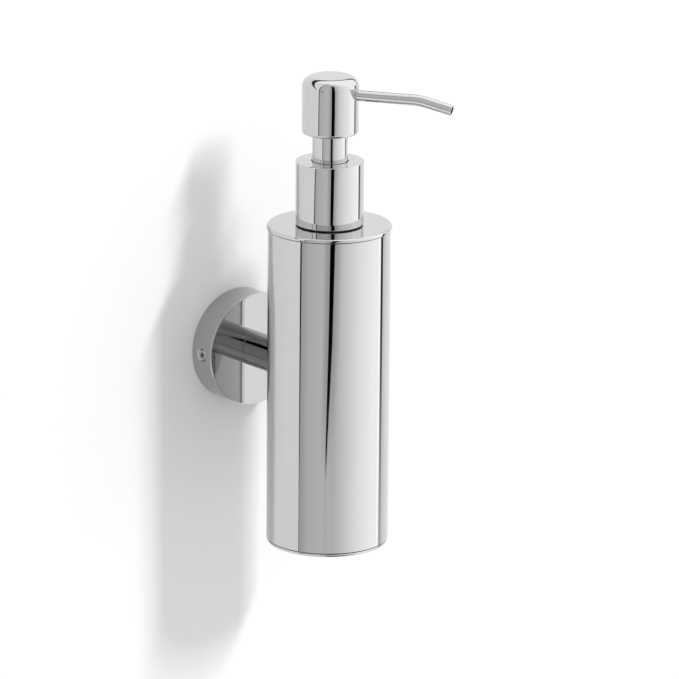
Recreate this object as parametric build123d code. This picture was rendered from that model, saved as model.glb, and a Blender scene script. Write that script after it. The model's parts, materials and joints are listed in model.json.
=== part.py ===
from build123d import *
import math
import os

os.makedirs("parts", exist_ok=True)

# Wall mounted soap dispenser. Millimetres, +Z up.
# Origin: centre of the wall rosette, on the wall plane (y = 0). The object stands out along -Y.

# ---------------------------------------------------------------- driving dimensions
REACH = 66.0  # wall to the axis of the bottle

# Bottle sleeve, lid and base
SLEEVE_R = 27.5
SLEEVE_WALL = 1.2
SLEEVE_LOW = -75.5
SLEEVE_HIGH = 68.1
SEAM = 0.4  # open seam between the sleeve and its lid or base
LID_R = 28.05
LID_TOP = 70.1
LID_PLATE = 2.5
LID_EDGE = 1.0
LID_BORE_R = 13.0
BASE_R = 27.25
BASE_BOTTOM = -77.5
BASE_PLATE = 2.0
BASE_EDGE = 1.2
SPIGOT_DEPTH = 5.0
SPIGOT_WALL = 2.0

# Inner container
CONTAINER_R = 22.2
CONTAINER_WALL = 1.3
SHOULDER_ROUND = 10.0
NECK_R = 11.9
NECK_BORE_R = 10.2
NECK_TOP = 79.0
THREAD_PITCH = 3.0
THREAD_TURNS = 2
THREAD_DEPTH = 0.7
LUG_WIDTH = 3.0
LUG_REACH = 14.2

# Screw collar
COLLAR_R = 15.3
COLLAR_LOW = 70.55
COLLAR_TOP = 99.3
COLLAR_WALL = 1.3
COLLAR_PLATE = 1.5
COLLAR_EDGE = 0.5
COLLAR_HOLE_R = 8.4
INSERT_TOP = 82.5
INSERT_PLATE = 1.4

# Pump
SLEEVE_NECK_R = 7.95
SLEEVE_NECK_WALL = 1.05
SLEEVE_NECK_LOW = 95.0
RUNNING = 0.05  # radial clearance of pieces that slide or turn in each other
HOUSING_R = 6.6
HOUSING_BORE_R = 5.4
FLANGE_R = 12.2
GASKET = 0.8
FLANGE = 1.2
GUIDE_R = 6.4
GUIDE_TOP = 84.0
GUIDE_LOW = 74.0
STEM_R = 3.6
STEM_BORE_R = 1.5
STEM_TOP = 121.0
PISTON_LOW = 69.0
PISTON_HIGH = 73.8
SPRING_SEAT = 50.0
SPRING_MEAN_R = 3.95
SPRING_WIRE_R = 0.4
SPRING_COILS = 6
BALL_R = 2.0
BALL_SEAT = 44.5
BALL_SEAT_R = 1.4
DIP_TUBE_R = 2.4
DIP_TUBE_BORE_R = 1.6
DIP_TUBE_HIGH = 42.4
DIP_TUBE_LOW = -69.0

# Pump head and spout
HEAD_R = 12.75
HEAD_LOW = 111.9
HEAD_TOP = 137.85
HEAD_WALL = 1.5
HEAD_ROUND = 4.6
HEAD_LOWER_ROUND = 1.4
SPOUT_R = 2.5
SPOUT_BORE_R = 1.9
SPOUT_Z = 129.85
SPOUT_YAW = 34.0  # degrees from -Y towards +X
SPOUT_START = 5.0
SPOUT_STRAIGHT = 38.0
SPOUT_BEND_R = 28.0
SPOUT_DROOP = 13.0
SPOUT_TIP = 56.0

# Wall rosette, bracket and arm
ROSETTE_R = 26.0
ROSETTE_DEPTH = 13.7
ROSETTE_WALL = 2.0
ROSETTE_FACE = 2.2
ROSETTE_EDGE = 0.5
BRACKET_R = 23.6
BRACKET_DEPTH = 9.5
BRACKET_RECESS_R = 19.0
BRACKET_PLATE = 3.5
GRUB_R = 2.4
GRUB_OUT = 6.8  # height of the grub screw above the wall
GROOVE_DEPTH = 2.6
ARM_R = 7.95
ARM_EDGE = 0.4
WALL_SCREW_SPACING = 28.0
WALL_SCREW_HOLE_R = 2.2
WALL_SCREW_HEAD_R = 4.2
WALL_SCREW_HEAD_DEPTH = 2.0
REAR_BOLT_R = 3.0
REAR_BOLT_DEPTH = 11.0
FRONT_BOLT_R = 2.5
FRONT_BOLT_DEPTH = 9.0
SADDLE_THICKNESS = 1.2

SLEEVE_BORE_R = SLEEVE_R - SLEEVE_WALL
BOTTLE = Pos(0, -REACH, 0)  # local Z is the bottle's axis
WALL = Rot(90, 0, 0)  # local Z is the distance out from the wall, local Y is up
UP = (Align.CENTER, Align.CENTER, Align.MIN)


# ---------------------------------------------------------------- helpers
def bar(radius, low, high):
    """Round bar on the local Z axis between two heights."""
    return Pos(0, 0, low) * Cylinder(radius, high - low, align=UP)


def pipe(outer, inner, low, high):
    """Tube on the local Z axis between two heights."""
    return bar(outer, low, high) - bar(inner, low - 1, high + 1)


def rim(solid, radius, height):
    """The circular edges of one radius at one height."""
    circles = solid.edges().filter_by(GeomType.CIRCLE)
    at_height = [e for e in circles if abs(e.arc_center.Z - height) < 0.01]
    return [e for e in at_height if abs(e.radius - radius) < 0.01]


def turned(outline):
    """Solid of revolution about Z from (radius, height) points."""
    points = [(radius, 0, height) for radius, height in outline]
    profile = make_face(Polyline(*points, close=True))
    return revolve(profile, Axis.Z, 360)


def hex_socket(across_flats, low, high):
    """Hexagonal recess between two heights on the local Z axis."""
    profile = RegularPolygon(across_flats / math.sqrt(3), 6)
    return Pos(0, 0, low) * extrude(profile, high - low)


def save(solid, name):
    export_step(solid, f"parts/{name}.step")


# ---------------------------------------------------------------- wall mount
def wall_screw_places():
    """Places of the two wall screw holes, above and below the centre."""
    return [Pos(0, side * WALL_SCREW_SPACING / 2, 0) for side in (-1, 1)]


def wall_bracket():
    """Turned flange that the rosette slips over, with a groove for its grub screw."""
    half_groove = 2.4
    bracket = turned([
        (0, 0),
        (BRACKET_R, 0),
        (BRACKET_R, GRUB_OUT - half_groove),
        (BRACKET_R - GROOVE_DEPTH, GRUB_OUT),
        (BRACKET_R, GRUB_OUT + half_groove),
        (BRACKET_R, BRACKET_DEPTH),
        (BRACKET_RECESS_R, BRACKET_DEPTH),
        (BRACKET_RECESS_R, BRACKET_PLATE),
        (0, BRACKET_PLATE),
    ])
    for place in wall_screw_places():
        hole = turned([
            (0, -1),
            (WALL_SCREW_HOLE_R, -1),
            (WALL_SCREW_HOLE_R, BRACKET_PLATE - WALL_SCREW_HEAD_DEPTH),
            (WALL_SCREW_HEAD_R, BRACKET_PLATE),
            (WALL_SCREW_HEAD_R, BRACKET_PLATE + 1),
            (0, BRACKET_PLATE + 1),
        ])
        bracket -= place * hole
    return bracket


def rosette():
    """Round cover: a cup with a bolt hole in its face and a grub screw hole in its rim."""
    cup = bar(ROSETTE_R, 0, ROSETTE_DEPTH)
    cup = fillet(rim(cup, ROSETTE_R, ROSETTE_DEPTH), ROSETTE_EDGE)
    cup -= bar(ROSETTE_R - ROSETTE_WALL, -1, ROSETTE_DEPTH - ROSETTE_FACE)
    cup -= bar(REAR_BOLT_R + 0.1, 0, ROSETTE_DEPTH + 1)
    grub_place = Pos(-ROSETTE_R, 0, GRUB_OUT) * Rot(0, 90, 0)
    cup -= grub_place * Cylinder(GRUB_R + RUNNING, 6)
    return cup - grub_place * Cone(GRUB_R + 0.5, GRUB_R - 0.1, 1.2)


def rosette_grub_screw():
    """Cup point set screw with a hexagonal socket, its axis along X."""
    length = 4.1
    screw = turned([
        (0, 0),
        (GRUB_R, 0),
        (GRUB_R, length - GRUB_R + 0.1),
        (0.1, length),
        (0, length),
    ])
    screw -= hex_socket(2.5, -1, 1.6)
    return Pos(-ROSETTE_R + 0.5, 0, GRUB_OUT) * Rot(0, 90, 0) * screw


def arm():
    """Round bar from the rosette to the sleeve, hollowed to sit on the sleeve."""
    bar_end = REACH - SLEEVE_R
    rod = bar(ARM_R, ROSETTE_DEPTH, REACH - SLEEVE_R + 3)
    rod = fillet(rim(rod, ARM_R, ROSETTE_DEPTH), ARM_EDGE)
    rod -= bar(REAR_BOLT_R, ROSETTE_DEPTH - 1, ROSETTE_DEPTH + REAR_BOLT_DEPTH)
    rod -= bar(FRONT_BOLT_R, bar_end - FRONT_BOLT_DEPTH - 0.5, bar_end + 3)
    sleeve = Pos(0, 0, REACH) * Rot(90, 0, 0) * Cylinder(SLEEVE_R, 60)
    return rod - sleeve


def button_bolt(shank_r, head_r, head_height, length, across_flats):
    """Button head bolt: head below z = 0, shank above it."""
    bolt = bar(head_r, -head_height, 0)
    bolt = fillet(rim(bolt, head_r, -head_height), head_height * 0.6)
    bolt += bar(shank_r, 0, length)
    bolt = chamfer(rim(bolt, shank_r, length), 0.5)
    return bolt - hex_socket(across_flats, -head_height - 1, -head_height + head_height * 0.6)


def arm_rear_bolt():
    """Bolt through the rosette's face into the arm."""
    washer = 1.2
    seat = ROSETTE_DEPTH - ROSETTE_FACE - washer
    length = washer + ROSETTE_FACE + REAR_BOLT_DEPTH - 1
    return Pos(0, 0, seat) * button_bolt(REAR_BOLT_R, 5.2, 3.2, length, 4.0)


def arm_rear_washer():
    """Split lock washer under the rear bolt's head."""
    seat = ROSETTE_DEPTH - ROSETTE_FACE
    ring = pipe(5.9, REAR_BOLT_R + 0.1, seat - 1.2, seat)
    return ring - Pos(0, 4.5, seat - 0.6) * Rot(0, 20, 0) * Box(0.7, 5, 3)


def arm_saddle():
    """Block between the sleeve's curved wall and the flat head of the front bolt."""
    flat = REACH - SLEEVE_BORE_R + SADDLE_THICKNESS
    block = Pos(0, 0, flat - 4) * Box(12, 12, 4, align=UP)
    inside = Pos(0, 0, REACH) * Rot(90, 0, 0) * Cylinder(SLEEVE_BORE_R, 60)
    return (block & inside) - bar(FRONT_BOLT_R + 0.1, flat - 5, flat + 1)


def arm_front_bolt():
    """Bolt from inside the sleeve into the arm."""
    flat = REACH - SLEEVE_BORE_R + SADDLE_THICKNESS
    length = SADDLE_THICKNESS + SLEEVE_WALL + FRONT_BOLT_DEPTH
    return Pos(0, 0, flat) * Rot(180, 0, 0) * button_bolt(FRONT_BOLT_R, 4.4, 2.5, length, 3.0)


# ---------------------------------------------------------------- bottle
def body_sleeve():
    """Plain tube with the arm's bolt hole in its back."""
    tube = pipe(SLEEVE_R, SLEEVE_BORE_R, SLEEVE_LOW, SLEEVE_HIGH)
    bolt_hole = Pos(0, SLEEVE_R, 0) * Rot(90, 0, 0) * Cylinder(FRONT_BOLT_R + 0.1, 8)
    return tube - bolt_hole


def lug(extra):
    """Key between the container's neck and the lid, grown by the extra on each side."""
    width = LUG_WIDTH + 2 * extra
    reach = LUG_REACH + extra
    return Pos(0, 0, LID_TOP - LID_PLATE - extra) * Box(2 * reach, width, 2.0 + extra, align=UP)


def lid_disc():
    """Overhanging top disc with a spigot in the sleeve and a keyed bore for the neck."""
    disc = bar(LID_R, SLEEVE_HIGH + SEAM, LID_TOP)
    disc = fillet(rim(disc, LID_R, LID_TOP), LID_EDGE)
    disc += bar(SLEEVE_BORE_R, SLEEVE_HIGH - SPIGOT_DEPTH, LID_TOP - 1)
    disc -= bar(SLEEVE_BORE_R - SPIGOT_WALL, 0, LID_TOP - LID_PLATE)
    disc -= bar(LID_BORE_R, 0, LID_TOP + 1)
    return disc - lug(0.15)


def base_disc():
    """Bottom disc, a little smaller than the sleeve, with a spigot in its end."""
    disc = bar(BASE_R, BASE_BOTTOM, SLEEVE_LOW - SEAM)
    disc = fillet(rim(disc, BASE_R, BASE_BOTTOM), BASE_EDGE)
    disc += bar(SLEEVE_BORE_R, BASE_BOTTOM + 1, SLEEVE_LOW + SPIGOT_DEPTH)
    spigot_bore = SLEEVE_BORE_R - SPIGOT_WALL
    return disc - bar(spigot_bore, BASE_BOTTOM + BASE_PLATE, SLEEVE_LOW + SPIGOT_DEPTH + 1)


def neck_thread():
    """Helical ridge round the container's neck."""
    root = NECK_R - 0.15
    start = NECK_TOP - 1.2 - THREAD_TURNS * THREAD_PITCH
    path = Helix(THREAD_PITCH, THREAD_TURNS * THREAD_PITCH - 0.6, root)
    crest = root + 0.15 + THREAD_DEPTH
    profile = [(root, 0, -0.8), (crest, 0, -0.35), (crest, 0, 0.35), (root, 0, 0.8)]
    ridge = make_face(Polyline(profile, close=True))
    return Pos(0, 0, start) * sweep(ridge, path=path, is_frenet=True)


def inner_container():
    """Plastic bottle that holds the soap, with a threaded neck and two keys."""
    bottom = BASE_BOTTOM + BASE_PLATE
    top = LID_TOP - LID_PLATE
    wall = CONTAINER_WALL
    body = bar(CONTAINER_R, bottom, top)
    body = fillet(rim(body, CONTAINER_R, top), SHOULDER_ROUND)
    body = fillet(rim(body, CONTAINER_R, bottom), 2.5)
    body += bar(NECK_R, top - 5, NECK_TOP)
    space = bar(CONTAINER_R - wall, bottom + wall, top - wall)
    space = fillet(rim(space, CONTAINER_R - wall, top - wall), SHOULDER_ROUND - wall)
    body -= space
    body += lug(0) & bar(LUG_REACH, top, LID_TOP)
    body -= bar(NECK_BORE_R, top - 6, NECK_TOP + 1)
    return body + neck_thread()


# ---------------------------------------------------------------- screw collar
def lid_seal():
    """Flat rubber ring between the collar and the lid."""
    return pipe(COLLAR_R - 0.9, LUG_REACH - 0.9, LID_TOP, COLLAR_LOW)


def collar_shell():
    """Metal cap with a hole for the moving neck of the pump head."""
    shell = bar(COLLAR_R, COLLAR_LOW, COLLAR_TOP)
    shell = fillet(rim(shell, COLLAR_R, COLLAR_TOP), COLLAR_EDGE)
    shell = chamfer(rim(shell, COLLAR_R, COLLAR_LOW), COLLAR_EDGE)
    shell -= bar(COLLAR_R - COLLAR_WALL, COLLAR_LOW - 1, COLLAR_TOP - COLLAR_PLATE)
    return shell - bar(COLLAR_HOLE_R, COLLAR_LOW, COLLAR_TOP + 1)


def collar_insert():
    """Plastic nut inside the collar that clamps the pump on the neck."""
    clear = 0.15
    nut = bar(COLLAR_R - COLLAR_WALL, COLLAR_LOW + 0.3, INSERT_TOP)
    nut -= bar(NECK_R + THREAD_DEPTH + clear, COLLAR_LOW, INSERT_TOP - INSERT_PLATE)
    return nut - bar(HOUSING_R + 0.8, COLLAR_LOW, INSERT_TOP + 1)


def collar_bush():
    """Black guide ring in the collar's hole, a little below its top."""
    ceiling = COLLAR_TOP - COLLAR_PLATE
    ring = pipe(COLLAR_HOLE_R, SLEEVE_NECK_R + RUNNING, ceiling, COLLAR_TOP - 0.3)
    return ring + pipe(COLLAR_HOLE_R + 2.5, SLEEVE_NECK_R + RUNNING, ceiling - 1.0, ceiling)


# ---------------------------------------------------------------- pump
def neck_gasket():
    """Soft ring between the container's rim and the pump's flange."""
    return pipe(FLANGE_R, NECK_BORE_R + 0.1, NECK_TOP, NECK_TOP + GASKET)


def pump_housing():
    """Stepped barrel: flange, cylinder, ball chamber and dip tube socket."""
    flange_low = NECK_TOP + GASKET
    flange_high = flange_low + FLANGE
    chamber_r = 2.8
    tail_r = 3.5
    tail_low = 34.5
    outer = turned([
        (0, tail_low),
        (tail_r, tail_low),
        (tail_r, BALL_SEAT - 1.5),
        (HOUSING_R, SPRING_SEAT - 2.5),
        (HOUSING_R, flange_low),
        (FLANGE_R, flange_low),
        (FLANGE_R, flange_high),
        (0, flange_high),
    ])
    outer -= bar(HOUSING_BORE_R, SPRING_SEAT, flange_high + 1)
    outer -= bar(chamber_r, BALL_SEAT, SPRING_SEAT + 1)
    outer -= bar(BALL_SEAT_R, tail_low, BALL_SEAT + 1)
    return outer - bar(DIP_TUBE_R, tail_low - 1, BALL_SEAT - 2.0)


def pump_guide():
    """Ring that closes the barrel and guides the stem."""
    flange_high = NECK_TOP + GASKET + FLANGE
    guide = bar(GUIDE_R, flange_high, GUIDE_TOP)
    guide = fillet(rim(guide, GUIDE_R, GUIDE_TOP), 0.6)
    guide += bar(HOUSING_BORE_R - RUNNING, GUIDE_LOW, flange_high + 1)
    return guide - bar(STEM_R + RUNNING, GUIDE_LOW - 1, GUIDE_TOP + 1)


def stem():
    """Hollow rod from the piston up into the head, with two inlet ports at its foot."""
    tip_low = 64.5
    tip_r = 2.7
    collar_r = 4.8
    rod = turned([
        (0, tip_low),
        (tip_r - 0.6, tip_low),
        (tip_r, tip_low + 0.6),
        (tip_r, PISTON_LOW - 1.0),
        (collar_r, PISTON_LOW - 1.0),
        (collar_r, PISTON_LOW),
        (STEM_R, PISTON_LOW),
        (STEM_R, STEM_TOP),
        (0, STEM_TOP),
    ])
    rod -= bar(STEM_BORE_R, tip_low + 1.4, STEM_TOP + 1)
    return rod - Pos(0, 0, PISTON_LOW - 2.2) * Rot(0, 90, 0) * Cylinder(0.8, 4 * STEM_R)


def piston():
    """Soft seal on the stem with two wiping lips."""
    wall = HOUSING_BORE_R - RUNNING
    waist = wall - 0.7
    lip = 0.9
    return turned([
        (STEM_R, PISTON_LOW),
        (wall, PISTON_LOW),
        (wall, PISTON_LOW + lip),
        (waist, PISTON_LOW + 1.8),
        (waist, PISTON_HIGH - 1.8),
        (wall, PISTON_HIGH - lip),
        (wall, PISTON_HIGH),
        (STEM_R, PISTON_HIGH),
    ])


def return_spring():
    """Compression spring between the barrel's seat and the stem's collar."""
    low = SPRING_SEAT + SPRING_WIRE_R + 0.02
    high = PISTON_LOW - 1.0 - SPRING_WIRE_R - 0.02
    path = Helix((high - low) / SPRING_COILS, high - low, SPRING_MEAN_R)
    start = path @ 0
    section = Plane(start, z_dir=path % 0) * Circle(SPRING_WIRE_R)
    return Pos(0, 0, low) * sweep(section, path=path, is_frenet=True)


def suction_ball():
    """Ball that rests on its seat and lifts as the pump draws."""
    lift = math.sqrt(BALL_R**2 - BALL_SEAT_R**2)
    return Pos(0, 0, BALL_SEAT + lift + 0.03) * Sphere(BALL_R)


def dip_tube():
    """Straight tube from the barrel to near the container's floor, its foot cut askew."""
    tube = pipe(DIP_TUBE_R, DIP_TUBE_BORE_R, DIP_TUBE_LOW, DIP_TUBE_HIGH)
    return tube - Pos(0, 0, DIP_TUBE_LOW) * Rot(0, 30, 0) * Box(30, 30, 2.4)


# ---------------------------------------------------------------- pump head
SPOUT_TURN = Rot(0, 0, SPOUT_YAW - 90)  # local +X becomes the spout's direction


def head_shell():
    """Round cap with a large radius at the top and a small one at the bottom."""
    cap = bar(HEAD_R, HEAD_LOW, HEAD_TOP)
    cap = fillet(rim(cap, HEAD_R, HEAD_TOP), HEAD_ROUND)
    cap = fillet(rim(cap, HEAD_R, HEAD_LOW), HEAD_LOWER_ROUND)
    space = bar(HEAD_R - HEAD_WALL, HEAD_LOW - 1, HEAD_TOP - HEAD_WALL)
    space = fillet(rim(space, HEAD_R - HEAD_WALL, HEAD_TOP - HEAD_WALL), HEAD_ROUND - HEAD_WALL)
    cap -= space
    spout_hole = Pos(0, 0, SPOUT_Z) * Rot(0, 90, 0) * Cylinder(SPOUT_R, 20, align=UP)
    return cap - SPOUT_TURN * spout_hole


def head_core():
    """Plastic core: stem socket, groove for the neck tube, and the duct to the spout."""
    core = bar(HEAD_R - HEAD_WALL, HEAD_LOW + 0.4, SPOUT_Z + 3.5)
    core -= bar(STEM_R + RUNNING, HEAD_LOW, STEM_TOP + 0.2)
    core -= bar(STEM_BORE_R, STEM_TOP, SPOUT_Z)
    core -= pipe(SLEEVE_NECK_R, SLEEVE_NECK_R - SLEEVE_NECK_WALL, HEAD_LOW, HEAD_LOW + 3.5)
    duct = Pos(0, 0, SPOUT_Z) * Rot(0, 90, 0) * Cylinder(STEM_BORE_R, 20, align=UP)
    socket = Pos(SPOUT_START, 0, SPOUT_Z) * Rot(0, 90, 0) * Cylinder(SPOUT_R, 20, align=UP)
    return core - SPOUT_TURN * (duct + socket)


def neck_sleeve():
    """Bright tube below the head that runs through the collar's guide ring."""
    inner = SLEEVE_NECK_R - SLEEVE_NECK_WALL
    return pipe(SLEEVE_NECK_R, inner, SLEEVE_NECK_LOW, HEAD_LOW + 3.5)


def spout():
    """Slim tube, level at first and then drooping, with its end cut square."""
    droop = math.radians(SPOUT_DROOP)
    bend_end = SPOUT_STRAIGHT + SPOUT_BEND_R * math.sin(droop)
    fall = (SPOUT_TIP - bend_end) * math.tan(droop)
    bend_drop = SPOUT_BEND_R * (1 - math.cos(droop))
    start = (SPOUT_START, 0, SPOUT_Z)
    knee = (SPOUT_STRAIGHT, 0, SPOUT_Z)
    after = (bend_end, 0, SPOUT_Z - bend_drop)
    tip = (SPOUT_TIP, 0, SPOUT_Z - bend_drop - fall)
    level = Line(start, knee)
    bend = TangentArc(knee, after, tangent=(1, 0, 0))
    path = Wire([level, bend, Line(after, tip)])
    section = Plane(start, z_dir=(1, 0, 0)) * (Circle(SPOUT_R) - Circle(SPOUT_BORE_R))
    return SPOUT_TURN * sweep(section, path=path)


# ---------------------------------------------------------------- assembly
WALL_PARTS = [
    wall_bracket,
    rosette,
    rosette_grub_screw,
    arm,
    arm_rear_bolt,
    arm_rear_washer,
    arm_saddle,
    arm_front_bolt,
]
BOTTLE_PARTS = [
    body_sleeve,
    lid_disc,
    base_disc,
    inner_container,
    lid_seal,
    collar_shell,
    collar_insert,
    collar_bush,
    neck_gasket,
    pump_housing,
    pump_guide,
    stem,
    piston,
    return_spring,
    suction_ball,
    dip_tube,
    head_shell,
    head_core,
    neck_sleeve,
    spout,
]
for make in WALL_PARTS:
    save(WALL * make(), make.__name__)
for make in BOTTLE_PARTS:
    save(BOTTLE * make(), make.__name__)
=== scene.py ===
"""Looks of a wall mounted soap dispenser: chrome, hidden plastics and steels, wall, light and camera.

Metres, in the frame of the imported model: the wall is the plane y = 0, the object stands out along -Y.
"""

import json
import math

import bmesh
import bpy
from mathutils import Matrix, Vector


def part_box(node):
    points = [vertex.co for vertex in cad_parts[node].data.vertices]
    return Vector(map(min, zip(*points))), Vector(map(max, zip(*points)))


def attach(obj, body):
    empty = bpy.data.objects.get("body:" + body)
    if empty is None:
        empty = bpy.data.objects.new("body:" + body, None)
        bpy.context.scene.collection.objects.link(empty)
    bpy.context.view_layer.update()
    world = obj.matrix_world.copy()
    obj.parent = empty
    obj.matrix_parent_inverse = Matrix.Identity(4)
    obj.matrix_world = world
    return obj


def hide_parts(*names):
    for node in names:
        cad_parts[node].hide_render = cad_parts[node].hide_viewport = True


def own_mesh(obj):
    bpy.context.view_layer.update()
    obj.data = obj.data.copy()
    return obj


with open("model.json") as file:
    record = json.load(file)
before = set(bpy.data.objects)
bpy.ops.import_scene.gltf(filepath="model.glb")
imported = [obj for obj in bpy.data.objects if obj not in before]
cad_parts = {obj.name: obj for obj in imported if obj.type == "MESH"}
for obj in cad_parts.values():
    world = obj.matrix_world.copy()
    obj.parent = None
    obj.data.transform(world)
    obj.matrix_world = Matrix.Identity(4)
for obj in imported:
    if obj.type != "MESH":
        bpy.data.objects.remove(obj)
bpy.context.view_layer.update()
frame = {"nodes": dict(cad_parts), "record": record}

NODES = frame["nodes"]

# ---------------------------------------------------------------- places taken from the frame
MM = 0.001
SLEEVE_LOW, SLEEVE_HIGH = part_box("body_sleeve")
AXIS_Y = (SLEEVE_LOW.y + SLEEVE_HIGH.y) / 2


def size(node):
    """Largest radius, lowest and highest place of a node that is round about the bottle's axis, in mm."""
    low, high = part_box(node)
    return (high.x - low.x) / 2 / MM, low.z / MM, high.z / MM


# ---------------------------------------------------------------- camera
CAMERA_AZIMUTH = math.radians(-39.3)
CAMERA_ELEVATION = math.radians(16.14)
CAMERA_ROLL = math.radians(0.467)
CAMERA_DISTANCE = 2.6906
AIM_RIGHT = 0.00502
AIM_UP = 0.0158
LENS_MM = 318.1
SENSOR_MM = 36.0


def place_camera():
    back = Vector((
        math.sin(CAMERA_AZIMUTH) * math.cos(CAMERA_ELEVATION),
        -math.cos(CAMERA_AZIMUTH) * math.cos(CAMERA_ELEVATION),
        math.sin(CAMERA_ELEVATION),
    ))
    level_right = Vector((math.cos(CAMERA_AZIMUTH), math.sin(CAMERA_AZIMUTH), 0))
    level_up = back.cross(level_right)
    right = level_right * math.cos(CAMERA_ROLL) + level_up * math.sin(CAMERA_ROLL)
    up = back.cross(right)
    aim = Vector((0, AXIS_Y, 0)) + right * AIM_RIGHT + up * AIM_UP
    data = bpy.data.cameras.new("camera")
    data.lens = LENS_MM
    data.sensor_width = SENSOR_MM
    camera = bpy.data.objects.new("camera", data)
    turn = Matrix((right, up, back)).transposed().to_4x4()
    camera.matrix_world = Matrix.Translation(aim + back * CAMERA_DISTANCE) @ turn
    bpy.context.scene.collection.objects.link(camera)
    bpy.context.scene.camera = camera


# ---------------------------------------------------------------- node helpers
def socket_value(tree, value, socket):
    """Feeds a socket from another socket, or sets it to a number."""
    if isinstance(value, bpy.types.NodeSocket):
        tree.links.new(value, socket)
    else:
        socket.default_value = value


def maths(tree, operation, *values):
    node = tree.nodes.new("ShaderNodeMath")
    node.operation = operation
    for value, socket in zip(values, node.inputs):
        socket_value(tree, value, socket)
    return node.outputs[0]


def times(tree, first, second):
    return maths(tree, "MULTIPLY", first, second)


def less(tree, first, second):
    return maths(tree, "SUBTRACT", first, second)


def smooth_step(tree, value, start, end):
    """0 before start, 1 after end, smooth between them."""
    node = tree.nodes.new("ShaderNodeMapRange")
    node.interpolation_type = "SMOOTHSTEP"
    for item, socket in zip((value, start, end, 0.0, 1.0), node.inputs):
        socket_value(tree, item, socket)
    return node.outputs[0]


def mix_number(tree, share, first, second):
    node = tree.nodes.new("ShaderNodeMix")
    for value, socket in zip((share, first, second), (node.inputs[0], node.inputs[2], node.inputs[3])):
        socket_value(tree, value, socket)
    return node.outputs[0]


def display(value):
    """Linear light of an 8-bit sRGB grey."""
    share = value / 255
    return share / 12.92 if share <= 0.04045 else ((share + 0.055) / 1.055) ** 2.4


CHROME_GREY = 0.58


def seen_in_chrome(value):
    """Light that looks like this 8-bit grey when chrome mirrors it."""
    return display(value) / CHROME_GREY


# ---------------------------------------------------------------- studio
def grey_ramp(tree, angle, stops):
    """Grey light by azimuth in degrees, from (degrees, 8-bit grey seen in chrome) stops."""
    share = tree.nodes.new("ShaderNodeMapRange")
    for item, socket in zip((angle, -180.0, 180.0, 0.0, 1.0), share.inputs):
        socket_value(tree, item, socket)
    ramp = tree.nodes.new("ShaderNodeValToRGB")
    tree.links.new(share.outputs[0], ramp.inputs[0])
    elements = ramp.color_ramp.elements
    while len(elements) > 1:
        elements.remove(elements[-1])
    for index, (degrees, grey) in enumerate(stops):
        place = (degrees + 180) / 360
        if index == 0:
            elements[0].position = place
        else:
            elements.new(place)
        light = seen_in_chrome(grey) / 2  # halved to stay within the ramp's range, doubled below
        elements[index].color = (light, light, light, 1)
    split = tree.nodes.new("ShaderNodeSeparateColor")
    tree.links.new(ramp.outputs[0], split.inputs[0])
    return times(tree, split.outputs[0], 2.0)


def between(tree, value, low, high, soft):
    """1 between two limits, 0 outside them, soft at both."""
    rise = smooth_step(tree, less(tree, value, low), -soft, soft)
    fall = smooth_step(tree, less(tree, value, high), soft, -soft)
    return times(tree, rise, fall)


def bent_line(tree, value, points):
    """Straight runs through (value, result) points; flat outside them."""
    (first, start), rest = points[0], points[1:]
    total = start
    before, level = first, start
    for place, result in rest:
        share = tree.nodes.new("ShaderNodeMapRange")
        for item, socket in zip((value, before, place, 0.0, result - level), share.inputs):
            socket_value(tree, item, socket)
        total = maths(tree, "ADD", total, share.outputs[0])
        before, level = place, result
    return total


def painted(tree, light, mask, grey):
    """The light with a grey (8-bit, as seen in chrome) painted over it where the mask is 1."""
    return mix_number(tree, mask, light, seen_in_chrome(grey))


# Directions are in degrees: azimuth from straight out of the wall, positive to the right, and height above
# level. Pairs join a direction to a grey as seen in chrome, or a height to the azimuth of an edge.
ROOM_GREYS = [
    (-100, 210), (-92, 148), (-78, 167), (-54, 175), (-46, 172), (-28, 172),
    (18, 217), (54, 235), (68, 236), (84, 188), (105, 213),
]
ROOM_SEAM = [(-17.6, -95.5), (-15.3, -93.3), (-14.0, -86.0), (-12.0, -84.0)]
GAP_LEFT = [
    (-17.5, -43.0), (-17.2, -43.5), (-16.2, -39.5), (-15.3, -37.5), (-14.0, -34.0), (10.0, -33.5),
]
GAP_RIGHT = [
    (-17.5, -43.0), (-17.2, -40.5), (-16.2, -32.0), (-15.3, -28.5), (-14.0, -20.5), (10.0, -22.0),
]
# Distance to the front against distance to the right, both for each unit of height
CEILING_EDGE = [(-0.18, 0.2), (0.07, 0.44), (0.23, 0.64), (0.47, 0.82), (0.84, 1.0), (1.44, 1.21), (3.0, 1.6)]
CEILING_LIGHT = 1.45
STRIP_LIGHT = 1.6
BOX_LIGHT = 1.5
PALE_CARD_LIGHT = 1.3


def open_room(tree, azimuth, height):
    """A grey panel on the left, a long soft gradient on the right, and a dark seam at the panel's edge."""
    light = grey_ramp(tree, azimuth, ROOM_GREYS)
    from_seam = less(tree, azimuth, bent_line(tree, height, ROOM_SEAM))
    light = painted(tree, light, smooth_step(tree, from_seam, 0.6, -0.6), 210)
    return painted(tree, light, between(tree, from_seam, -1.6, 1.6, 0.5), 22)


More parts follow.
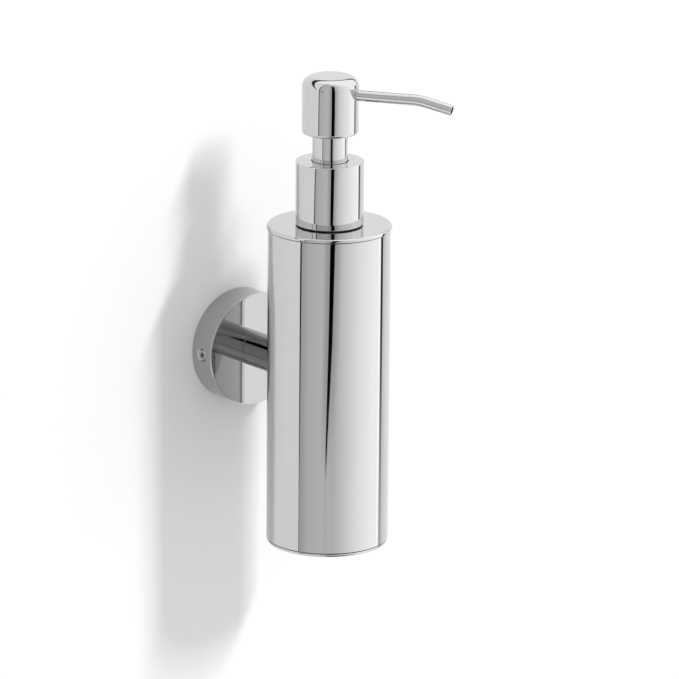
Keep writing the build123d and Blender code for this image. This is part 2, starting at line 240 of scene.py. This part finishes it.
def dark_gap(tree, light, azimuth, height):
    """The unlit gap beside the camera: narrow low down, wide above, with a soft darker surround."""
    from_left = less(tree, azimuth, bent_line(tree, height, GAP_LEFT))
    from_right = less(tree, azimuth, bent_line(tree, height, GAP_RIGHT))
    open_share = smooth_step(tree, height, -17.6, -16.4)
    closed_above = smooth_step(tree, height, 56.0, 50.0)
    around = times(tree, smooth_step(tree, from_left, -13.0, -3.0), smooth_step(tree, from_right, 18.0, 0.0))
    around = times(tree, times(tree, around, open_share), closed_above)
    light = times(tree, light, less(tree, 1.0, times(tree, around, 0.28)))
    inside = times(tree, smooth_step(tree, from_left, -0.7, 0.7), smooth_step(tree, from_right, 0.7, -0.7))
    light = painted(tree, light, times(tree, inside, closed_above), 4)
    low_gap = times(tree, between(tree, azimuth, -41.0, 29.0, 3.0), smooth_step(tree, height, -36.0, -42.0))
    return painted(tree, light, low_gap, 8)


def right_side(tree, light, azimuth, height):
    """A bright strip and a dark seam on the right, and the side softbox above them."""
    light = mix_number(tree, between(tree, azimuth, 67.5, 73.0, 0.8), light, STRIP_LIGHT)
    fade = smooth_step(tree, height, -18.5, -15.5)
    seam_light = mix_number(tree, fade, seen_in_chrome(160), seen_in_chrome(40))
    light = mix_number(tree, between(tree, azimuth, 74.5, 82.0, 1.0), light, seam_light)
    box = times(tree, between(tree, azimuth, 46.0, 67.0, 1.0), smooth_step(tree, height, -14.6, -14.2))
    return mix_number(tree, box, light, BOX_LIGHT)


def left_cards(tree, light, azimuth, height):
    """A dark card above the height that the bottle mirrors, and a pale one low down."""
    dark = times(tree, between(tree, azimuth, -80.0, -66.0, 1.5), between(tree, height, -11.0, -6.0, 2.0))
    light = painted(tree, light, dark, 24)
    pale = times(tree, between(tree, azimuth, -92.0, -56.0, 3.0), between(tree, height, -46.0, -24.0, 3.0))
    return mix_number(tree, pale, light, PALE_CARD_LIGHT)


def overhead(tree, light, x, y, z):
    """The large white ceiling to the right, with a slanting front edge. It also shows above the wall."""
    steep = maths(tree, "MAXIMUM", z, 0.02)
    right = maths(tree, "DIVIDE", x, steep)
    front = maths(tree, "DIVIDE", times(tree, y, -1.0), steep)
    edge = bent_line(tree, right, CEILING_EDGE)
    inside = smooth_step(tree, less(tree, edge, front), -0.02, 0.02)
    inside = times(tree, inside, smooth_step(tree, right, -0.17, -0.13))
    inside = times(tree, inside, smooth_step(tree, z, 0.1, 0.2))
    return mix_number(tree, inside, light, CEILING_LIGHT)


AMBIENT = 0.95  # on the wall, where nothing stands in front of it
AMBIENT_SIDE = 1.6  # times AMBIENT, from directions along the wall
AMBIENT_FALL = 0.9  # how much weaker it is from straight in front


def studio_world():
    """Polished pieces mirror a detailed studio. Everything else is lit by a plain soft one."""
    world = bpy.data.worlds.new("studio")
    bpy.context.scene.world = world
    world.use_nodes = True
    tree = world.node_tree
    tree.nodes.clear()
    place = tree.nodes.new("ShaderNodeTexCoord")
    split = tree.nodes.new("ShaderNodeSeparateXYZ")
    tree.links.new(place.outputs["Generated"], split.inputs[0])
    x, y, z = split.outputs
    to_degrees = 180 / math.pi
    azimuth = maths(tree, "ARCTAN2", x, times(tree, y, -1.0))
    azimuth = times(tree, azimuth, to_degrees)
    height = times(tree, maths(tree, "ARCSINE", z), to_degrees)
    light = open_room(tree, azimuth, height)
    light = dark_gap(tree, light, azimuth, height)
    light = right_side(tree, light, azimuth, height)
    light = left_cards(tree, light, azimuth, height)
    light = overhead(tree, light, x, y, z)
    studio = tree.nodes.new("ShaderNodeBackground")
    studio.inputs["Color"].default_value = (1, 1, 1, 1)
    socket_value(tree, light, studio.inputs["Strength"])
    even = tree.nodes.new("ShaderNodeBackground")
    even.inputs["Color"].default_value = (1, 1, 1, 1)
    frontal = maths(tree, "MAXIMUM", times(tree, y, -1.0), 0.0)
    falling = times(tree, frontal, AMBIENT * AMBIENT_FALL)
    socket_value(tree, less(tree, AMBIENT * AMBIENT_SIDE, falling), even.inputs["Strength"])
    path = tree.nodes.new("ShaderNodeLightPath")
    mix = tree.nodes.new("ShaderNodeMixShader")
    tree.links.new(path.outputs["Is Glossy Ray"], mix.inputs[0])
    tree.links.new(even.outputs[0], mix.inputs[1])
    tree.links.new(studio.outputs[0], mix.inputs[2])
    output = tree.nodes.new("ShaderNodeOutputWorld")
    tree.links.new(mix.outputs[0], output.inputs[0])


KEY_DISTANCE = 8.0  # from the wall
KEY_MIDDLE = (0.325, 0.86)  # right and up, for each unit of distance from the wall
KEY_LEAN = (0.22, 0.43)  # from its low end to its high end
KEY_WIDTH = 0.07
KEY_POWER = 900.0  # watts


def key_light():
    """A long narrow softbox that leans to the right, parallel to the wall."""
    along = Vector((KEY_LEAN[0], 0, KEY_LEAN[1]))
    back = Vector((0, -1, 0))
    up = along.normalized()
    data = bpy.data.lights.new("key", "AREA")
    data.shape = "RECTANGLE"
    data.size = KEY_WIDTH * KEY_DISTANCE
    data.size_y = along.length * KEY_DISTANCE
    data.energy = KEY_POWER
    lamp = bpy.data.objects.new("key", data)
    turn = Matrix((up.cross(back), up, back)).transposed().to_4x4()
    place = Vector((KEY_MIDDLE[0], -1, KEY_MIDDLE[1])) * KEY_DISTANCE
    lamp.matrix_world = Matrix.Translation(place) @ turn
    bpy.context.scene.collection.objects.link(lamp)
    lamp.visible_glossy = False


WALL_HALF_WIDTH = 0.88
WALL_TOP = 0.24
WALL_TRIM = 0.2  # foot of the dark strip that runs along the wall's top
WALL_GREY = 0.8
TRIM_GREY = 0.03
FLOOR_Z = -0.6
FLOOR_HALF_WIDTH = 3.0
FLOOR_FRONT = -4.0
FLOOR_BACK = 2.0
FLOOR_GREY = 0.5


def quad(name, corners, material):
    mesh = bpy.data.meshes.new(name)
    mesh.from_pydata(corners, [], [(0, 1, 2, 3)])
    mesh.materials.append(material)
    obj = bpy.data.objects.new(name, mesh)
    bpy.context.scene.collection.objects.link(obj)
    return obj


def one_sided(tree, shader):
    """Nothing shows on the side that faces away from the room."""
    side = tree.nodes.new("ShaderNodeNewGeometry")
    clear = tree.nodes.new("ShaderNodeBsdfTransparent")
    mix = tree.nodes.new("ShaderNodeMixShader")
    tree.links.new(side.outputs["Backfacing"], mix.inputs[0])
    tree.links.new(shader.outputs[0], mix.inputs[1])
    tree.links.new(clear.outputs[0], mix.inputs[2])
    tree.links.new(mix.outputs[0], tree.nodes["Material Output"].inputs[0])


def wall_paint(name, grey):
    material, tree, shader = new_material(name)
    bump(tree, shader, noise_at(tree, 900.0, 2.0), 0.03, 0.0004)
    shader.inputs["Base Color"].default_value = (grey, grey, grey, 1)
    shader.inputs["Roughness"].default_value = 0.85
    shader.inputs["Specular IOR Level"].default_value = 0.2
    one_sided(tree, shader)
    return material


def floor_paint():
    material, tree, shader = new_material("floor_paint")
    shader.inputs["Base Color"].default_value = (FLOOR_GREY, FLOOR_GREY, FLOOR_GREY, 1)
    shader.inputs["Roughness"].default_value = 0.7
    bump(tree, shader, noise_at(tree, 60.0, 3.0), 0.05, 0.002)
    return material


def upright(name, y, low, high, material):
    w = WALL_HALF_WIDTH
    quad(name, [(-w, y, low), (w, y, low), (w, y, high), (-w, y, high)], material)


def room():
    upright("wall", 0, FLOOR_Z, WALL_TOP, wall_paint("wall_paint", WALL_GREY))
    upright("wall_trim", -MM, WALL_TRIM, WALL_TOP, wall_paint("trim_paint", TRIM_GREY))
    w = FLOOR_HALF_WIDTH
    plan = [(-w, FLOOR_FRONT), (w, FLOOR_FRONT), (w, FLOOR_BACK), (-w, FLOOR_BACK)]
    floor = quad("floor", [(x, y, FLOOR_Z) for x, y in plan], floor_paint())
    floor.visible_glossy = False


# ---------------------------------------------------------------- materials
def new_material(name):
    material = bpy.data.materials.new(name)
    material.use_nodes = True
    tree = material.node_tree
    return material, tree, tree.nodes["Principled BSDF"]


def noise_at(tree, scale, detail):
    place = tree.nodes.new("ShaderNodeTexCoord")
    noise = tree.nodes.new("ShaderNodeTexNoise")
    noise.inputs["Scale"].default_value = scale
    noise.inputs["Detail"].default_value = detail
    tree.links.new(place.outputs["Object"], noise.inputs["Vector"])
    return noise.outputs[0]


def bump(tree, shader, height, strength, distance):
    node = tree.nodes.new("ShaderNodeBump")
    node.inputs["Strength"].default_value = strength
    node.inputs["Distance"].default_value = distance
    tree.links.new(height, node.inputs["Height"])
    tree.links.new(node.outputs[0], shader.inputs["Normal"])


def varied(tree, source, low, high):
    """A number between low and high that follows a texture."""
    node = tree.nodes.new("ShaderNodeMapRange")
    for item, socket in zip((source, 0.3, 0.7, low, high), node.inputs):
        socket_value(tree, item, socket)
    return node.outputs[0]


def simple(name, colour, roughness, metallic, scale, variation=0.05, bump_distance=0.00002):
    material, tree, shader = new_material(name)
    noise = noise_at(tree, scale, 4.0)
    ramp = tree.nodes.new("ShaderNodeMix")
    ramp.data_type = "RGBA"
    tree.links.new(noise, ramp.inputs[0])
    ramp.inputs[6].default_value = (*[c * (1 - variation) for c in colour], 1)
    ramp.inputs[7].default_value = (*[min(1, c * (1 + variation)) for c in colour], 1)
    tree.links.new(ramp.outputs[2], shader.inputs["Base Color"])
    shader.inputs["Metallic"].default_value = metallic
    socket_value(tree, varied(tree, noise, roughness * 0.85, roughness * 1.15), shader.inputs["Roughness"])
    bump(tree, shader, noise, 0.2, bump_distance)
    return material


def chrome(name, grey, smooth, hazy):
    """Plated metal; its roughness wanders between two levels with faint polishing haze."""
    material, tree, shader = new_material(name)
    shader.inputs["Base Color"].default_value = (grey, grey, grey * 1.005, 1)
    shader.inputs["Metallic"].default_value = 1.0
    socket_value(tree, varied(tree, noise_at(tree, 140.0, 3.0), smooth, hazy), shader.inputs["Roughness"])
    return material


MATERIALS = {
    "polished_chrome": chrome("polished_chrome", CHROME_GREY, 0.012, 0.03),
    # The rosette and the arm get darker copies of the same chrome: painted shade, their plating grey lowered
    # so that their reflections come out darker than the bottle's.
    "rosette_chrome_painted_shade": chrome("rosette_chrome_painted_shade", 0.49, 0.035, 0.055),
    "arm_chrome_painted_shade": chrome("arm_chrome_painted_shade", 0.37, 0.02, 0.04),
    "bracket_zinc": simple("bracket_zinc", (0.55, 0.56, 0.57), 0.35, 1.0, 500.0),
    "fastener_steel": simple("fastener_steel", (0.55, 0.55, 0.55), 0.25, 1.0, 900.0),
    "spring_steel": simple("spring_steel", (0.6, 0.6, 0.6), 0.2, 1.0, 900.0),
    "container_plastic": simple("container_plastic", (0.85, 0.87, 0.86), 0.35, 0.0, 200.0),
    "pump_plastic": simple("pump_plastic", (0.85, 0.85, 0.83), 0.4, 0.0, 300.0),
    "seal_plastic": simple("seal_plastic", (0.7, 0.74, 0.78), 0.4, 0.0, 300.0),
    "black_rubber": simple("black_rubber", (0.012, 0.012, 0.012), 0.6, 0.0, 800.0),
    "black_plastic": simple("black_plastic", (0.015, 0.015, 0.015), 0.4, 0.0, 500.0),
    # Painted shade: near-black faces inside the seams and the grub screw's hole, where little light gets in.
    "painted_gap_shade": simple("painted_gap_shade", (0.01, 0.01, 0.01), 0.7, 0.0, 700.0),
}


# ---------------------------------------------------------------- turned pieces
BAND = 0.03  # mm: narrow faces beside each rounding, which keep the flat faces' shading flat


def corner_arc(before, corner, after, rounding, steps):
    """Points that round one corner of an outline."""
    back = (before - corner).normalized()
    on = (after - corner).normalized()
    half = back.angle(on) / 2
    start = corner + back * rounding / math.tan(half)
    end = corner + on * rounding / math.tan(half)
    centre = corner + (back + on).normalized() * rounding / math.sin(half)
    first = math.atan2(start.y - centre.y, start.x - centre.x)
    swing = math.atan2(end.y - centre.y, end.x - centre.x) - first
    swing = (swing + math.pi) % (2 * math.pi) - math.pi
    angles = [first + swing * step / steps for step in range(steps + 1)]
    arc = [centre + Vector((math.cos(angle), math.sin(angle))) * rounding for angle in angles]
    return [start + back * BAND, *arc, end + on * BAND]


def rounded(corners, steps=12):
    """Closed outline from (radius, height, rounding) corners in millimetres."""
    outline = []
    for index, (radius, height, rounding) in enumerate(corners):
        corner = Vector((radius, height))
        before = Vector(corners[index - 1][:2])
        after = Vector(corners[(index + 1) % len(corners)][:2])
        if rounding:
            outline += corner_arc(before, corner, after, rounding, steps)
        else:
            outline.append(corner)
    return outline


def on_bottle(radius, height, angle):
    """Point about the bottle's upright axis."""
    return Vector((radius * math.cos(angle), AXIS_Y / MM + radius * math.sin(angle), height))


def on_wall(radius, height, angle):
    """Point about the axis that stands out from the wall."""
    return Vector((radius * math.cos(angle), -height, radius * math.sin(angle)))


def spin(outline, place, segments=192):
    """Turned mesh: place() carries each outline point round its axis."""
    points = []
    rings = []
    for radius, height in outline:
        count = 1 if radius < 0.001 else segments
        first = len(points)
        points += [place(radius, height, 2 * math.pi * step / segments) * MM for step in range(count)]
        rings.append([first + step % count for step in range(segments)])
    faces = []
    for ring, following in zip(rings, rings[1:] + rings[:1]):
        for step in range(segments):
            other = (step + 1) % segments
            face = dict.fromkeys((ring[step], ring[other], following[other], following[step]))
            if len(face) > 2:
                faces.append(list(face))
    mesh = bpy.data.meshes.new("turned")
    mesh.from_pydata(points, [], faces)
    shape = bmesh.new()
    shape.from_mesh(mesh)
    bmesh.ops.recalc_face_normals(shape, faces=shape.faces)
    shape.to_mesh(mesh)
    shape.free()
    obj = bpy.data.objects.new("turned", mesh)
    bpy.context.scene.collection.objects.link(obj)
    return obj


def cut(obj, tool):
    """Takes the tool's shape out of the object."""
    modifier = obj.modifiers.new("cut", "BOOLEAN")
    modifier.operation = "DIFFERENCE"
    modifier.solver = "EXACT"
    modifier.object = tool
    depsgraph = bpy.context.evaluated_depsgraph_get()
    result = bpy.data.meshes.new_from_object(obj.evaluated_get(depsgraph))
    obj.modifiers.remove(modifier)
    obj.data = result
    bpy.data.objects.remove(tool)


def bored(place):
    """A place function for a drill: local height runs along the given matrix's Z axis."""
    def point(radius, height, angle):
        return place @ Vector((radius * math.cos(angle), radius * math.sin(angle), height))

    return point


def pipe_outline(inner, outer, low, high, rounding, outer_low=None):
    """Cross-section of a plain tube or ring, with one rounding on every edge but the outer lower one."""
    foot = rounding if outer_low is None else outer_low
    corners = [(inner, low, rounding), (outer, low, foot), (outer, high, rounding), (inner, high, rounding)]
    return rounded(corners, 4)


def shade(obj, centre, axis):
    """Smooth faces with sharp corners, and exact normals on the walls that run along the axis."""
    mesh = obj.data
    mesh.shade_smooth()
    mesh.set_sharp_from_angle(angle=math.radians(30))
    normals = [Vector(normal.vector) for normal in mesh.corner_normals]
    for face in mesh.polygons:
        if abs(face.normal.dot(axis)) > 0.001:
            continue
        for loop in face.loop_indices:
            out = mesh.vertices[mesh.loops[loop].vertex_index].co - centre
            out = (out - axis * out.dot(axis)).normalized()
            side = out.dot(face.normal)
            if abs(side) > 0.999:
                normals[loop] = out if side > 0 else -out
    mesh.normals_split_custom_set(normals)


def stand_in(obj, node, body, material=None, upright=True):
    """Finishes a piece that shows in place of a CAD node."""
    axis = Vector((0, 0, 1)) if upright else Vector((0, 1, 0))
    centre = Vector((0, AXIS_Y, 0)) if upright else Vector((0, 0, 0))
    shade(obj, centre, axis)
    obj.name = node + "_fine"
    obj.data.name = obj.name
    obj.data.materials.clear()
    obj.data.materials.append(MATERIALS[material or SLOTS[node]])
    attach(obj, body)
    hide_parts(node)


def paint_shade_where(obj, test):
    """Paints near-black shade on the faces that the test picks, inside the joints' gaps and holes."""
    obj.data.materials.append(MATERIALS["painted_gap_shade"])
    for face in obj.data.polygons:
        if test(face.center / MM):
            face.material_index = 1


def from_axis(point):
    """Distance of a point in mm from the bottle's axis."""
    return math.hypot(point.x, point.y - AXIS_Y / MM)


SLOTS = {part["node"]: part["material_slot"] for part in frame["record"]["subparts"]}


# ---------------------------------------------------------------- bottle
# Dimensions in mm that a node's box doesn't give, as in the CAD model
SLEEVE_WALL = 1.2
SPIGOT_WALL = 2.0
SEAM = 0.4
LID_PLATE = 2.5
LID_EDGE = 1.0
LID_BORE_R = 13.0
BASE_PLATE = 2.0
BASE_EDGE = 1.2
SEAL_BORE_R = 13.3


def body_sleeve():
    radius, low, high = size("body_sleeve")
    inner = radius - SLEEVE_WALL
    corners = [(inner, low, 0.1), (radius, low, 0.12), (radius, high, 0.12), (inner, high, 0.1)]
    tube = spin(rounded(corners, 4), on_bottle, 320)
    stand_in(tube, "body_sleeve", "mounted_bottle")


def lid_disc():
    radius, low, high = size("lid_disc")
    sleeve_r, _, sleeve_top = size("body_sleeve")
    spigot = sleeve_r - SLEEVE_WALL
    under = sleeve_top + SEAM
    plate = high - LID_PLATE
    disc = spin(rounded([
        (spigot - SPIGOT_WALL, low, 0.2),
        (spigot, low, 0.3),
        (spigot, under, 0),
        (radius, under, 0.1),
        (radius, high, LID_EDGE),
        (LID_BORE_R, high, 0.15),
        (LID_BORE_R, plate, 0),
        (spigot - SPIGOT_WALL, plate, 0),
    ]), on_bottle, 320)
    stand_in(disc, "lid_disc", "mounted_bottle")
    # Painted shade: the spigot's faces inside the seam under the lid are near black.
    paint_shade_where(disc, lambda point: abs(from_axis(point) - spigot) < 0.1 and point.z < under - 0.01)


def base_disc():
    radius, low, high = size("base_disc")
    sleeve_r, sleeve_low, _ = size("body_sleeve")
    spigot = sleeve_r - SLEEVE_WALL
    under = sleeve_low - SEAM
    floor = low + BASE_PLATE
    disc = spin(rounded([
        (0, low, 0),
        (radius, low, BASE_EDGE),
        (radius, under, 0.1),
        (spigot, under, 0),
        (spigot, high, 0.3),
        (spigot - SPIGOT_WALL, high, 0.2),
        (spigot - SPIGOT_WALL, floor, 0),
        (0, floor, 0),
    ]), on_bottle, 320)
    stand_in(disc, "base_disc", "mounted_bottle")
    # Painted shade: the spigot's faces inside the seam above the base are near black.
    paint_shade_where(disc, lambda point: from_axis(point) > spigot - 0.1 and point.z > under + 0.01)


def lid_seal():
    radius, low, high = size("lid_seal")
    ring = spin(pipe_outline(SEAL_BORE_R, radius, low, high, 0.05), on_bottle)
    stand_in(ring, "lid_seal", "mounted_bottle")


# ---------------------------------------------------------------- collar
COLLAR_WALL = 1.3
COLLAR_PLATE = 1.5
COLLAR_HOLE_R = 8.4
BUSH_FOOT = 1.0
RUNNING = 0.05  # clearance of the sliding neck


def collar_shell():
    radius, low, high = size("collar_shell")
    shell = spin(rounded([
        (COLLAR_HOLE_R, high - COLLAR_PLATE, 0),
        (radius - COLLAR_WALL, high - COLLAR_PLATE, 0),
        (radius - COLLAR_WALL, low, 0.1),
        (radius, low, 0.45),
        (radius, high, 0.5),
        (COLLAR_HOLE_R, high, 0.12),
    ]), on_bottle, 256)
    stand_in(shell, "collar_shell", "collar")


def collar_bush():
    radius, low, high = size("collar_bush")
    inner = size("neck_sleeve")[0] + RUNNING
    ring = spin(rounded([
        (inner, low, 0.1),
        (radius, low, 0.1),
        (radius, low + BUSH_FOOT, 0),
        (COLLAR_HOLE_R, low + BUSH_FOOT, 0),
        (COLLAR_HOLE_R, high, 0.08),
        (inner, high, 0.08),
    ], 5), on_bottle)
    stand_in(ring, "collar_bush", "collar")


# ---------------------------------------------------------------- pump head
HEAD_WALL = 1.5
HEAD_ROUND = 4.6
HEAD_LOWER_ROUND = 1.4
NECK_WALL = 1.05
SPOUT_R = 2.5
SPOUT_BORE_R = 1.9
SPOUT_YAW = math.radians(34.0)
SPOUT_START = 5.0
SPOUT_STRAIGHT = 38.0
SPOUT_BEND_R = 28.0
SPOUT_DROOP = math.radians(13.0)
SPOUT_TIP = 56.0
SPOUT_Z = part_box("spout")[1].z / MM - SPOUT_R
DRILL_RUN = (2, 30)  # the hole for the spout, from inside the head to well outside it


def spout_turn():
    """Matrix from the spout's own frame, X along it, to the model's frame in mm."""
    return Matrix.Translation((0, AXIS_Y / MM, 0)) @ Matrix.Rotation(SPOUT_YAW - math.pi / 2, 4, "Z")


def head_shell():
    radius, low, high = size("head_shell")
    inner = radius - HEAD_WALL
    shell = spin(rounded([
        (0, high, 0),
        (radius, high, HEAD_ROUND),
        (radius, low, HEAD_LOWER_ROUND),
        (inner, low, 0.2),
        (inner, high - HEAD_WALL, HEAD_ROUND - HEAD_WALL),
        (0, high - HEAD_WALL, 0),
    ], 24), on_bottle, 256)
    outward = spout_turn() @ Matrix.Translation((0, 0, SPOUT_Z)) @ Matrix.Rotation(math.pi / 2, 4, "Y")
    near, far = DRILL_RUN
    corners = [(0, near), (SPOUT_R, near), (SPOUT_R, far), (0, far)]
    cut(shell, spin([Vector(corner) for corner in corners], bored(outward), 96))
    stand_in(shell, "head_shell", "pump_head")


def neck_sleeve():
    radius, low, high = size("neck_sleeve")
    inner = radius - NECK_WALL
    tube = spin(pipe_outline(inner, radius, low, high, 0.1, outer_low=0.15), on_bottle, 256)
    stand_in(tube, "neck_sleeve", "pump_head")


def along_spout(distance):
    """Forward and downward place and slope, at a distance along the spout's centre line."""
    straight = SPOUT_STRAIGHT - SPOUT_START
    turned = min(max((distance - straight) / SPOUT_BEND_R, 0), SPOUT_DROOP)
    after = max(distance - straight - SPOUT_BEND_R * SPOUT_DROOP, 0)
    forward = SPOUT_START + min(distance, straight)
    forward += SPOUT_BEND_R * math.sin(turned) + after * math.cos(SPOUT_DROOP)
    down = SPOUT_BEND_R * (1 - math.cos(turned)) + after * math.sin(SPOUT_DROOP)
    return forward, down, turned


def on_spout(radius, height, angle):
    """Point about the spout's bent centre line."""
    forward, down, turned = along_spout(height)
    lift = radius * math.sin(angle)
    point = Vector((
        forward + lift * math.sin(turned),
        radius * math.cos(angle),
        SPOUT_Z - down + lift * math.cos(turned),
    ))
    return spout_turn() @ point


def spout():
    straight = SPOUT_STRAIGHT - SPOUT_START
    bend = SPOUT_BEND_R * SPOUT_DROOP
    reach = (SPOUT_TIP - SPOUT_STRAIGHT - SPOUT_BEND_R * math.sin(SPOUT_DROOP)) / math.cos(SPOUT_DROOP)
    length = straight + bend + reach
    steps = [straight + bend * step / 24 for step in range(25)]
    corners = [(SPOUT_R, 0, 0.15), (SPOUT_R, length, 0.18), (SPOUT_BORE_R, length, 0.1), (SPOUT_BORE_R, 0, 0)]
    ends = rounded(corners, 5)
    split = next(index for index, point in enumerate(ends) if point.y > length / 2)
    inner = next(index for index, point in enumerate(ends) if index > split and point.y < length / 2)
    outline = ends[:split] + [Vector((SPOUT_R, step)) for step in steps] + ends[split:inner]
    outline += [Vector((SPOUT_BORE_R, step)) for step in reversed(steps)] + ends[inner:]
    tube = spin(outline, on_spout, 96)
    stand_in(tube, "spout", "pump_head")


# ---------------------------------------------------------------- wall mount
ROSETTE_WALL = 2.0
ROSETTE_FACE = 2.2
GRUB_CLEARANCE = 0.1
COUNTERSINK = 0.9
KEY_ACROSS_FLATS = 2.5  # of the grub screw's hexagonal socket
REAR_BORE_R = 3.0
REAR_BORE_DEPTH = 11.0
FRONT_BORE_R = 2.5
FRONT_BORE_DEPTH = 9.0
ARM_EDGE = 0.4


def inward_from(x, y):
    """Matrix whose Z axis runs level, along +X, from a place on the rosette's left."""
    return Matrix.Translation((x, y, 0)) @ Matrix.Rotation(math.pi / 2, 4, "Y")


def rosette():
    low, high = (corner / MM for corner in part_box("rosette"))
    radius = (high.x - low.x) / 2
    depth = -low.y
    inner = radius - ROSETTE_WALL
    cup = spin(rounded([
        (inner, 0, 0.2),
        (radius, 0, 0.15),
        (radius, depth, 0.5),
        (REAR_BORE_R + 0.1, depth, 0.1),
        (REAR_BORE_R + 0.1, depth - ROSETTE_FACE, 0),
        (inner, depth - ROSETTE_FACE, 0.8),
    ]), on_wall, 320)
    screw_low, screw_high = (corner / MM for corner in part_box("rosette_grub_screw"))
    grub_r = (screw_high.z - screw_low.z) / 2
    grub_y = (screw_low.y + screw_high.y) / 2
    hole = grub_r + GRUB_CLEARANCE
    mouth = grub_r + COUNTERSINK
    through = 2 * ROSETTE_WALL
    outline = [(0, -3), (mouth, -3), (mouth, 0), (hole, COUNTERSINK), (hole, through), (0, through)]
    cut(cup, spin([Vector(point) for point in outline], bored(inward_from(-radius, grub_y)), 64))
    # The rosette's chrome is a darker copy of the bottle's: painted shade.
    stand_in(cup, "rosette", "mounted_bottle", "rosette_chrome_painted_shade", upright=False)

    def in_hole(point):
        beside = math.hypot(point.z, point.y - grub_y) < hole + 0.2
        on_the_left = point.x < ROSETTE_WALL + 1 - radius
        return beside and on_the_left and math.hypot(point.x, point.z) < radius - 0.05

    # Painted shade: the walls of the grub screw's hole are near black.
    paint_shade_where(cup, in_hole)


def rosette_grub_screw():
    low, high = (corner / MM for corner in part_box("rosette_grub_screw"))
    radius = (high.z - low.z) / 2
    length = high.x - low.x
    place = inward_from(low.x, (low.y + high.y) / 2)
    corners = [(0, 0, 0), (radius, 0, 0.3), (radius, length - radius, 0.2), (0.1, length, 0), (0, length, 0)]
    screw = spin(rounded(corners, 5), bored(place), 64)
    socket_r = KEY_ACROSS_FLATS / math.sqrt(3)
    socket = [(0, -1), (socket_r, -1), (socket_r, 1.6), (0, 2.2)]
    cut(screw, spin([Vector(point) for point in socket], bored(place), 6))
    stand_in(screw, "rosette_grub_screw", "mounted_bottle", upright=False)


def arm():
    """Plain bar whose front end is shaped to the round sleeve."""
    low, high = (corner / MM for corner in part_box("arm"))
    radius = (high.x - low.x) / 2
    rear = -high.y
    sleeve_r = size("body_sleeve")[0]
    reach = -AXIS_Y / MM
    front = reach - sleeve_r

    def on_saddle(radius, height, angle):
        point = on_wall(radius, height, angle)
        if height > front - 0.001:
            point.y = -(reach - math.sqrt(sleeve_r**2 - point.x**2))
        return point

    mouth = Vector((REAR_BORE_R, rear))
    outline = [Vector((0, rear + REAR_BORE_DEPTH)), Vector((REAR_BORE_R, rear + REAR_BORE_DEPTH)), mouth]
    outline += corner_arc(mouth, Vector((radius, rear)), Vector((radius, front)), ARM_EDGE, 8)
    outline += [Vector((radius, front - 0.5))]
    outline += [Vector((radius - (radius - FRONT_BORE_R) * step / 8, front)) for step in range(9)]
    outline += [Vector((FRONT_BORE_R, front - FRONT_BORE_DEPTH)), Vector((0, front - FRONT_BORE_DEPTH))]
    rod = spin(outline, on_saddle, 256)
    # The arm's chrome is a darker copy of the bottle's: painted shade.
    stand_in(rod, "arm", "mounted_bottle", "arm_chrome_painted_shade", upright=False)


def return_spring():
    """The pump's spring, a copy of its CAD node that rides on the pump unit."""
    node = NODES["return_spring"]
    spring = bpy.data.objects.new("return_spring_fine", node.data.copy())
    bpy.context.scene.collection.objects.link(spring)
    spring.matrix_world = node.matrix_world.copy()
    spring.data.materials.clear()
    spring.data.materials.append(MATERIALS[SLOTS["return_spring"]])
    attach(spring, "pump_unit")
    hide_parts("return_spring")
    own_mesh(spring)


# ---------------------------------------------------------------- assembly
def dress_nodes():
    for name, node in NODES.items():
        node.data.materials.clear()
        node.data.materials.append(MATERIALS[SLOTS[name]])


place_camera()
studio_world()
key_light()
room()
dress_nodes()
for make in (body_sleeve, lid_disc, base_disc, lid_seal, collar_shell, collar_bush,
             head_shell, neck_sleeve, spout, rosette, rosette_grub_screw, arm, return_spring):
    make()
bpy.context.scene.view_settings.view_transform = "Standard"
